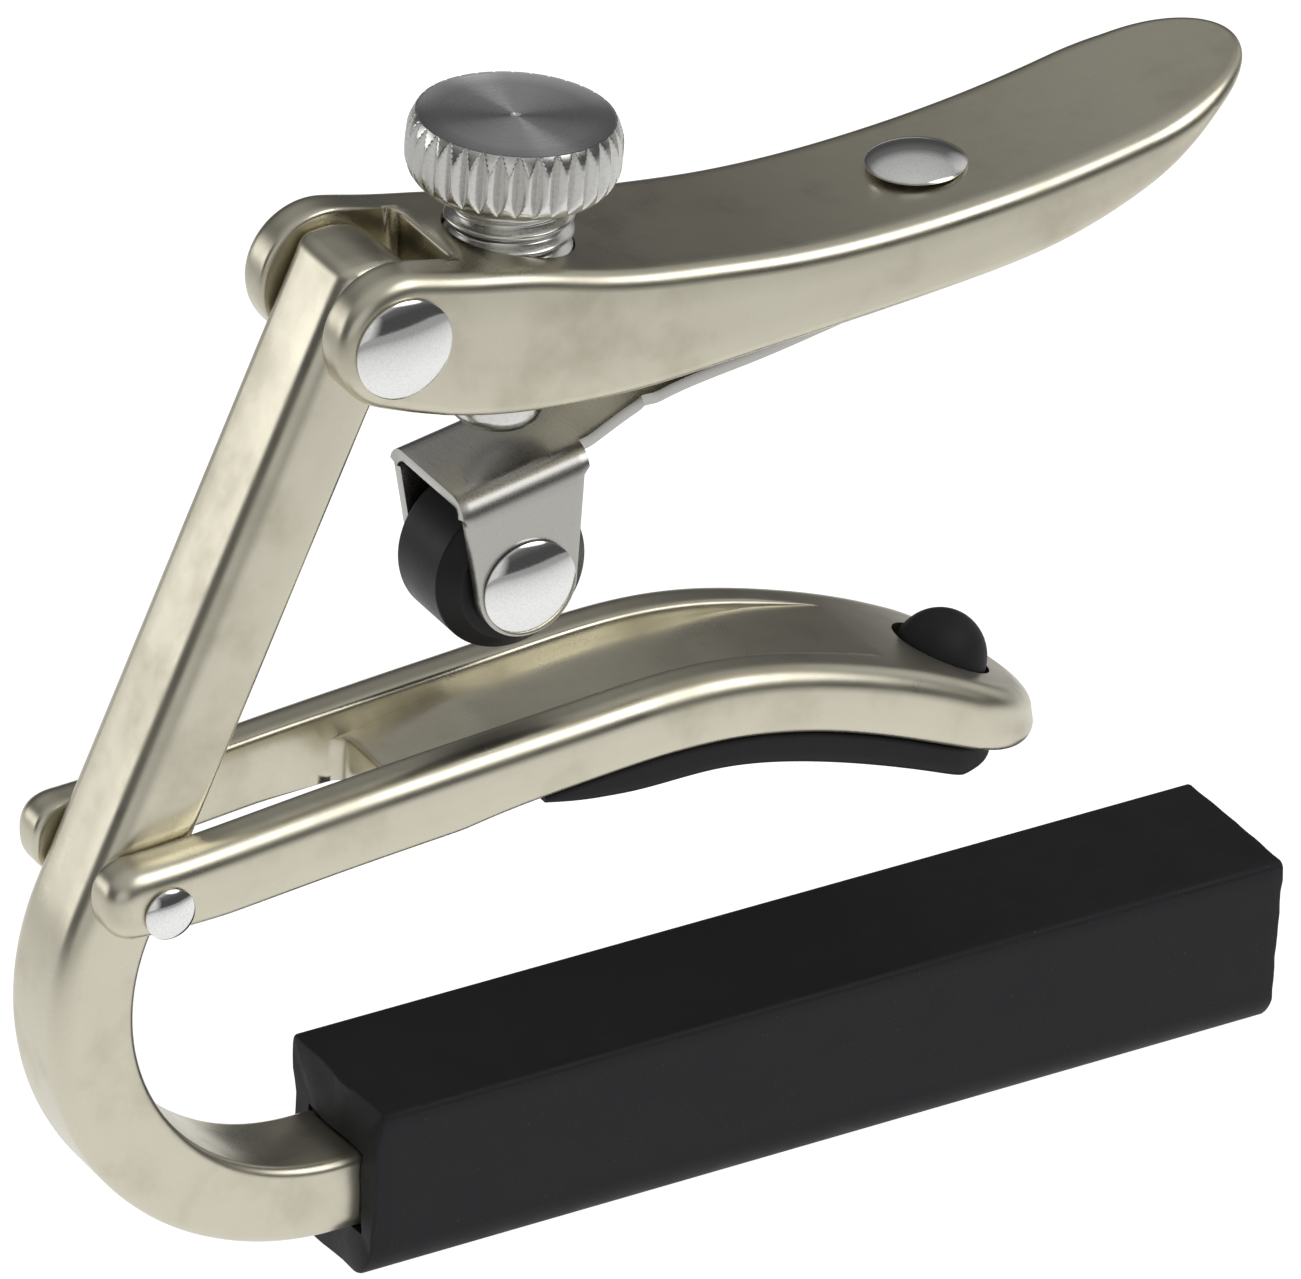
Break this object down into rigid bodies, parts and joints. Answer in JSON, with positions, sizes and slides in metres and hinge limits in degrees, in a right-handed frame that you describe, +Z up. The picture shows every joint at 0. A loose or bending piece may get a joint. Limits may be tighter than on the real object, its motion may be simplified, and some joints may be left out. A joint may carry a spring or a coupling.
{
  "type": "guitar capo",
  "caption": "Nickel-plated lever capo for a guitar, with rubber jaws, a roller on a leaf spring and a knurled thumbscrew.",
  "frame": {"origin": "middle of the flat top of the rubber sleeve, where the strings lie", "axes": "+X along the sleeve towards the bar's free end, +Y across the bar along the pivots, +Z up out of the sleeve's flat top"},
  "size_m": [0.0741, 0.0133, 0.066],
  "materials": {
    "nickel": "bright nickel plate over polished castings, slightly warm and softly mirrored",
    "polished": "mirror-polished rivet heads",
    "turned_steel": "turned and plated, with fine circular tool lines",
    "spring_steel": "brushed stainless strip",
    "rubber": "moulded black rubber, dull, with faint dust",
    "black_plastic": "satin black plastic"
  },
  "bodies": {
    "bar": {"string_bar": "nickel", "string_sleeve": "rubber"},
    "arm": {"neck_arm": "nickel", "neck_pad": "rubber", "arm_rivet": "polished"},
    "lever": {"cam_lever": "nickel", "lever_rivet": "polished", "spring_rivet": "polished"},
    "spring": {"roller_spring": "spring_steel", "roller_axle": "polished"},
    "wheel": {"roller": "black_plastic"},
    "tip": {"screw_tip": "turned_steel"},
    "screw": {"thumbscrew": "turned_steel"}
  },
  "joints": [
    {"name": "arm_hinge", "type": "hinge", "parent": "bar", "child": "arm", "pos_m": [-0.0408, 0, 0.0165], "axis": [0, 1, 0], "range_deg": [-10, 11]},
    {"name": "lever_hinge", "type": "hinge", "parent": "bar", "child": "lever", "pos_m": [-0.0267, 0, 0.0461], "axis": [0, 1, 0], "range_deg": [-75, 28]},
    {"name": "spring_flex", "type": "hinge", "parent": "lever", "child": "spring", "pos_m": [0.0071, 0, 0.0404], "axis": [0, -1, 0], "range_deg": [-1.5, 5], "stiffness_Nm_per_rad": 1.5},
    {"name": "roller_spin", "type": "hinge", "parent": "spring", "child": "wheel", "pos_m": [-0.0185, 0, 0.0291], "axis": [0, 1, 0], "continuous": true},
    {"name": "screw_travel", "type": "slide", "parent": "lever", "child": "tip", "axis": [-0.0802, 0, -0.9968], "range_m": [-0.004, 0.0008]},
    {"name": "screw_turn", "type": "hinge", "parent": "tip", "child": "screw", "pos_m": [-0.0174, 0, 0.0479], "axis": [-0.0802, 0, -0.9968], "range_deg": [-1440, 288]}
  ],
  "couplings": [
    {"joint": "screw_turn", "follows": "screw_travel", "rad_per_m": 6283.2}
  ]
}
